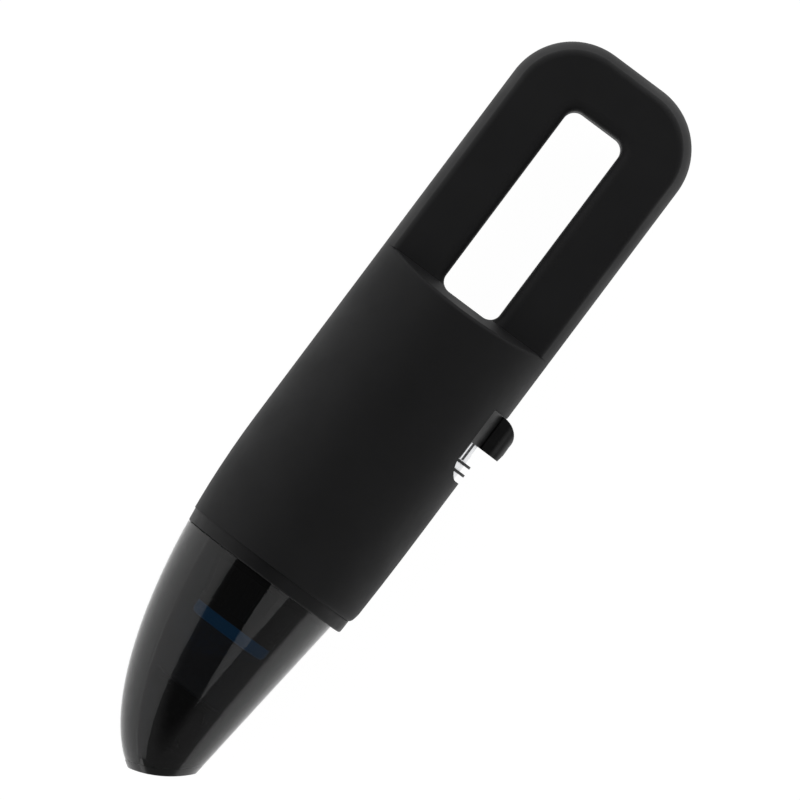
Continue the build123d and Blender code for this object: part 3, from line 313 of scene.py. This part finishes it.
# Satin polish: bright, with fine lines along the track. They are too fine to show, so at 3000 and 90
# to the metre they are drawn 0.33 mm across and 11 mm long.
polish_marks_per_metre = (3000.0, 90.0, 3000.0)
aluminium, shader, place = finish_named("aluminium_stamped_satin", "#e6e7e9", 0.3, metallic=1.0)
polish = add(aluminium, "Mapping", {"Scale": polish_marks_per_metre}, {"Vector": place})
lines = add(aluminium, "TexNoise", {"Scale": 1.0, "Detail": 2.0}, {"Vector": polish.outputs[0]})
vary(aluminium, lines.outputs["Fac"], shader.inputs["Roughness"], 0.22, 0.38)
bump = add(aluminium, "Bump", {"Distance": 0.000006}, {"Height": lines.outputs["Fac"]})
aluminium.node_tree.links.new(bump.outputs["Normal"], shader.inputs["Normal"])
dress(aluminium, "switch_track")

# Satin mould: a black with a softened highlight. Its grain is drawn at 0.5 mm so that it shows.
satin_abs, shader, place = finish_named("abs_black_satin_moulded", "#101011", 0.36)
grain(satin_abs, shader, place, size_mm=0.5, depth_mm=0.006)
vary(satin_abs, blotch(satin_abs, place, size_mm=7.0), shader.inputs["Roughness"], 0.3, 0.42)
dress(satin_abs, "power_slider")


# Dark strip behind the slider: a thin black rubber lip in the rear edge of the window. It is put
# there as painted shade for the 0.3 mm gap, so that no bright line of the track shows.

def mesh_piece(name, rings, material, body, endless=False):
    """A skin over rings of points that rides on a body: capped at both ends, or endless."""
    count = len(rings[0])
    points = [point for ring in rings for point in ring]
    faces = [] if endless else [range(count), range(len(points) - count, len(points))]
    for row in range(len(rings) if endless else len(rings) - 1):
        for column in range(count):
            near = (row * count + column, row * count + (column + 1) % count)
            far = ((corner + count) % len(points) for corner in reversed(near))
            faces.append((*near, *far))
    mesh = bpy.data.meshes.new(name)
    mesh.from_pydata(points, [], faces)
    skin = bmesh.new()
    skin.from_mesh(mesh)
    bmesh.ops.recalc_face_normals(skin, faces=skin.faces)
    skin.to_mesh(mesh)
    skin.free()
    mesh.materials.append(material)
    piece = bpy.data.objects.new(name, mesh)
    bpy.context.scene.collection.objects.link(piece)
    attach(piece, body)


# Moulded nitrile rubber: a flat black, painted shade for the gap. Its skin is drawn at 0.4 mm so
# that it shows.
gap_shade_rubber, shader, place = finish_named("nitrile_rubber_gap_shade", "#161617", 0.6, ior=1.52)
grain(gap_shade_rubber, shader, place, size_mm=0.4, depth_mm=0.01)
tint(gap_shade_rubber, shader, blotch(gap_shade_rubber, place, size_mm=4.0), "#131314", "#1b1b1c")

barrel_half_width = 0.036
barrel_half_depth = 0.03125
rest_to_axis = 0.0305
gap_shade_y = (0.03402, 0.03428)
gap_shade_insets = (0.0002, 0.0014)
gap_shade_half_height = 0.0166
gap_shade_half_steps = 12


def gap_shade_section(height):
    """Four corners of the strip at one height over the motor axis, from just under the shell's skin in."""
    outer, inner = gap_shade_insets
    front, rear = gap_shade_y
    ring = []
    for inset, y in ((outer, front), (outer, rear), (inner, rear), (inner, front)):
        share = height / (barrel_half_depth - inset)
        ring.append(((barrel_half_width - inset) * math.sqrt(1 - share * share), y, rest_to_axis + height))
    return ring


# Painted shade: a dark strip filling the gap behind the slider, where only shade would be.
heights = [gap_shade_half_height * (i / gap_shade_half_steps - 1) for i in range(2 * gap_shade_half_steps + 1)]
mesh_piece("slider_gap_shade", [gap_shade_section(height) for height in heights], gap_shade_rubber, "housing")


# Collar ring: the socket that the dust cup pushes into, moulded in black ABS. Its sleeve sits inside
# the nose of the two shells.

# Spark-eroded mould: a dull black with a faint sparkle. Its grain is too fine to show, so it is drawn
# at 0.4 mm.
spark_abs, shader, place = finish_named("abs_black_spark_grained", "#151516", 0.5, ior=1.35)
grain(spark_abs, shader, place, size_mm=0.4, depth_mm=0.008, detail=3.0)
tint(spark_abs, shader, blotch(spark_abs, place, size_mm=14.0), "#121213", "#161617")
vary(spark_abs, blotch(spark_abs, place, size_mm=5.0), shader.inputs["Roughness"], 0.46, 0.56)
dress(spark_abs, "collar_ring")


# Filter: a polypropylene cage round a pleated non-woven sheet, closed by a blue cap in front. The cap
# glows a little, in place of the light that a real smoked wall scatters onto it.

# Moulded polypropylene: black with a waxy sheen. Its skin is drawn at 0.6 mm so that it shows.
polypropylene, shader, place = finish_named("polypropylene_black_moulded", "#131314", 0.42, ior=1.49)
grain(polypropylene, shader, place, size_mm=0.6, depth_mm=0.01)
vary(polypropylene, blotch(polypropylene, place, size_mm=6.0), shader.inputs["Roughness"], 0.36, 0.5)
dress(polypropylene, "filter_frame")

# Non-woven sheet: matt grey with a felted look. Its fibres are too fine to show, so at 900 and 2600 to
# the metre they are drawn 1.1 mm long and 0.38 mm thick.
fibres_per_metre = (900.0, 2600.0, 2600.0)
paper, shader, place = finish_named("polyester_nonwoven_pleated", "#3b3c40", 0.85, ior=1.45)
fibres = add(paper, "Mapping", {"Scale": fibres_per_metre}, {"Vector": place})
felt = add(
    paper, "TexNoise", {"Scale": 1.0, "Detail": 6.0, "Roughness": 0.7}, {"Vector": fibres.outputs[0]})
tint(paper, shader, felt.outputs["Fac"], "#313236", "#47484d")
bump = add(paper, "Bump", {"Distance": 0.00005}, {"Height": felt.outputs["Fac"]})
paper.node_tree.links.new(bump.outputs["Normal"], shader.inputs["Normal"])
shader.inputs["Sheen Weight"].default_value = 0.2
dress(paper, "filter_pleats")

# The pleats' rear ends are potted: a cast ring of polyurethane, sunk a little by its own meniscus,
# closes them against the flange, so that all air has to go through the sheet. It sets to a dark grey
# with a soft gloss and waves 1.5 mm apart.
potting, shader, place = finish_named("polyurethane_potting_cast", "#29292b", 0.4)
grain(potting, shader, place, size_mm=1.5, depth_mm=0.01)
tint(potting, shader, blotch(potting, place, size_mm=5.0), "#242426", "#303033")

pleat_end_y = -0.0510
pleats_sunk = 0.00015
potting_radii = (0.0134, 0.01925)
potting_depth = 0.0014
meniscus = 0.0003
meniscus_half_steps = 4
circle_points = 96

potting_section = [(radius, pleat_end_y - pleats_sunk) for radius in potting_radii]
for i in range(2 * meniscus_half_steps + 1):
    across = 1 - i / meniscus_half_steps
    radius = (potting_radii[0] + potting_radii[1] + across * (potting_radii[1] - potting_radii[0])) / 2
    potting_section.append((radius, pleat_end_y + potting_depth - meniscus * (1 - across * across)))
turns_round = [math.tau * k / circle_points for k in range(circle_points)]
circles = [
    [(radius * math.cos(turn), y, rest_to_axis + radius * math.sin(turn)) for turn in turns_round]
    for radius, y in potting_section]
mesh_piece("pleat_potting", circles, potting, "filter", endless=True)

# Gloss-moulded blue ABS: a full blue with a painted glow, so that it shows as a dim bar through the
# cup. Its faint waves are drawn at 0.7 mm.
painted_glow_strength = 0.7
blue_abs, shader, place = finish_named("abs_blue_moulded_gloss", "#0a62b4", 0.3)
grain(blue_abs, shader, place, size_mm=0.7, depth_mm=0.006)
tint(blue_abs, shader, blotch(blue_abs, place, size_mm=8.0), "#085aa8", "#0c69bd")
# Painted glow: the cap emits light though it is no lamp, in place of light scattered onto it.
shader.inputs["Emission Color"].default_value = linear("#0084c4")
shader.inputs["Emission Strength"].default_value = painted_glow_strength
dress(blue_abs, "filter_cap")


# Dust cup: smoked polycarbonate, injection moulded and hard coated, with the inlet duct, its rubber
# flap and the seal in a groove of the spigot. The lip is a separate band round the mouth.

# Smoked polycarbonate: a dark, clear wall with sharp reflections. The clear acrylic coat sets what the
# surface reflects, so the index is the coat's, and the pigment scatters 0.5 % as haze. The mould's
# flow leaves waves 30 mm long.
haze = 0.005
smoke_tint = (0.13, 0.14, 0.16, 1.0)
smoke_per_metre = 1700.0
smoked, shader, place = finish_named("polycarbonate_smoked_hard_coated", "#f2f3f5", 0.02, ior=1.49)
shader.inputs["Transmission Weight"].default_value = 1 - haze
smoke = add(smoked, "VolumeAbsorption", {"Color": smoke_tint, "Density": smoke_per_metre})
smoked.node_tree.links.new(
    smoke.outputs[0], smoked.node_tree.nodes["Material Output"].inputs["Volume"])
flow = blotch(smoked, place, size_mm=30.0)
vary(smoked, flow, shader.inputs["Roughness"], 0.012, 0.03)
bump = add(smoked, "Bump", {"Distance": 0.00002}, {"Height": flow})
smoked.node_tree.links.new(bump.outputs["Normal"], shader.inputs["Normal"])
dress(smoked, "dust_cup")

# Gloss-moulded ABS: a black that mirrors the lamps softly. Its faint waves are drawn at 0.9 mm.
gloss_abs, shader, place = finish_named("abs_black_gloss_moulded", "#0e0e0f", 0.22)
grain(gloss_abs, shader, place, size_mm=0.9, depth_mm=0.003)
vary(gloss_abs, blotch(gloss_abs, place, size_mm=8.0), shader.inputs["Roughness"], 0.18, 0.28)
dress(gloss_abs, "mouth_lip", "inlet_duct")

# Moulded silicone: dark grey, with a soft, greasy sheen. Its skin is drawn at 0.4 mm so that it shows.
silicone, shader, place = finish_named("silicone_seal_moulded", "#202022", 0.5, ior=1.41)
grain(silicone, shader, place, size_mm=0.4, depth_mm=0.008)
tint(silicone, shader, blotch(silicone, place, size_mm=4.0), "#1c1c1e", "#28282b")
dress(silicone, "cup_seal", "inlet_flap")


# Camera: 4 m straight over the object, so that the view is nearly flat, and turned until the object
# lies slanting across the picture as in the photograph.

camera_height = 4.0
seen_width = 0.2832
middle = Vector((0.0016, 0.0168, rest_to_axis))
picture_right = Vector((0.8, 0.6, 0.0))
camera_data = bpy.data.cameras.new("camera")
camera = bpy.data.objects.new("camera", camera_data)
bpy.context.scene.collection.objects.link(camera)
camera_data.sensor_width = 36.0
camera_data.lens = camera_height * camera_data.sensor_width / seen_width
camera_data.clip_end = 20.0
camera.location = middle + Vector((0, 0, camera_height))
camera.rotation_euler = (0, 0, math.atan2(picture_right.y, picture_right.x))
bpy.context.scene.camera = camera


# Floor: a white table 5 m wide, 0.2 mm under the rest flat. The camera sees it as nine tenths glowing
# paper and one tenth lit paper, which keeps a little of the shadow. Reflections and the clear cup
# see the same.

def seen_ray(material):
    """1 for camera, glossy and transmission rays, which see the white backdrop."""
    ray = add(material, "LightPath", {})
    either = add(
        material, "Math", {"operation": "MAXIMUM"},
        {0: ray.outputs["Is Camera Ray"], 1: ray.outputs["Is Glossy Ray"]})
    return add(
        material, "Math", {"operation": "MAXIMUM"},
        {0: either.outputs[0], 1: ray.outputs["Is Transmission Ray"]})


floor_reach = 2.5
floor_drop = 0.0002
floor_corners = [
    (x * floor_reach, y * floor_reach, -floor_drop) for x, y in ((-1, -1), (1, -1), (1, 1), (-1, 1))]
floor_mesh = bpy.data.meshes.new("floor")
floor_mesh.from_pydata(floor_corners, [], [(0, 1, 2, 3)])
floor = bpy.data.objects.new("floor", floor_mesh)
bpy.context.scene.collection.objects.link(floor)

# Matt paper: a flat white. Its fibres are too fine to show, so they are drawn at 3 mm.
paper_glow = 1.09
glow_share = 0.9
paper_white, shader, place = finish_named("floor_paper_white", "#f2f2f2", 0.9)
grain(paper_white, shader, place, size_mm=3.0, depth_mm=0.01)
glow = add(paper_white, "Emission", {"Color": (1, 1, 1, 1), "Strength": paper_glow})
share = add(
    paper_white, "Math", {"operation": "MULTIPLY", 1: glow_share}, {0: seen_ray(paper_white).outputs[0]})
mix = add(
    paper_white, "MixShader", {}, {0: share.outputs[0], 1: shader.outputs[0], 2: glow.outputs[0]})
paper_white.node_tree.links.new(
    mix.outputs[0], paper_white.node_tree.nodes["Material Output"].inputs["Surface"])
floor_mesh.materials.append(paper_white)


# Lamps: a long softbox on the left, a smaller one on the right, and one at each end, under a dark
# ceiling. The two on the sides show in the cup; the end ones only fill.

aim_y = 0.02


def softbox(name, position, size, radiance, turn=0.0, shift=0.0):
    """An area lamp of a given radiance: aimed at the object, turned on its axis, then moved along Y."""
    data = bpy.data.lights.new(name, "AREA")
    data.shape = "RECTANGLE"
    data.size, data.size_y = size
    data.energy = radiance * math.pi * size[0] * size[1]
    lamp = bpy.data.objects.new(name, data)
    bpy.context.scene.collection.objects.link(lamp)
    lamp.location = position
    toward = Vector((0, aim_y, rest_to_axis)) - Vector(position)
    facing = toward.to_track_quat("-Z", "Y") @ Quaternion((0, 0, 1), math.radians(turn))
    lamp.rotation_euler = facing.to_euler()
    lamp.location.y += shift


def beside(angle, distance):
    """A place in the plane across the object, at an angle from straight up towards +X."""
    turn = math.radians(angle)
    return (distance * math.sin(turn), aim_y, rest_to_axis + distance * math.cos(turn))


softbox("softbox_left", beside(-60, 1.3), size=(3.6, 1.3), radiance=0.55, shift=-0.7)
softbox("softbox_right", beside(33, 1.4), size=(0.76, 0.76), radiance=0.64, turn=45, shift=-0.12)
softbox("softbox_handle_end", (0.0, 1.3, 0.8), size=(1.4, 1.0), radiance=1.4)
softbox("softbox_nozzle_end", (0.0, -1.6, 0.25), size=(1.4, 0.4), radiance=1.2)


# Room: grey walls that darken towards the ceiling. Only reflections and the light on the object come
# from it; the camera, and what shows through the cup, have the white backdrop.

# Each is a height, as the share of straight up, and the grey there. Below the first all is white.
table_edge, low_wall, high_wall, ceiling = (0.02, 1.0), (0.12, 0.28), (0.7, 0.22), (0.85, 0.03)

world = bpy.data.worlds.new("studio")
bpy.context.scene.world = world
world.use_nodes = True
world.node_tree.nodes.clear()
direction = add(world, "TexCoord", {}).outputs["Generated"]
upward = add(world, "SeparateXYZ", {}, {0: direction}).outputs["Z"]
room = add(world, "ValToRGB", {}, {"Fac": upward})
for stop, (position, grey) in zip(room.color_ramp.elements, (table_edge, ceiling)):
    stop.position = position
    stop.color = (grey, grey, grey, 1)
for position, grey in (low_wall, high_wall):
    room.color_ramp.elements.new(position).color = (grey, grey, grey, 1)
room_light = add(world, "Background", {"Strength": 1.0}, {"Color": room.outputs["Color"]})
backdrop = add(world, "Background", {"Color": (1, 1, 1, 1), "Strength": 1.0})
ray = add(world, "LightPath", {})
direct = add(
    world, "Math", {"operation": "MAXIMUM"},
    {0: ray.outputs["Is Camera Ray"], 1: ray.outputs["Is Transmission Ray"]})
mix = add(
    world, "MixShader", {}, {0: direct.outputs[0], 1: room_light.outputs[0], 2: backdrop.outputs[0]})
add(world, "OutputWorld", {}, {"Surface": mix.outputs[0]})
bpy.context.scene.view_settings.view_transform = "Standard"
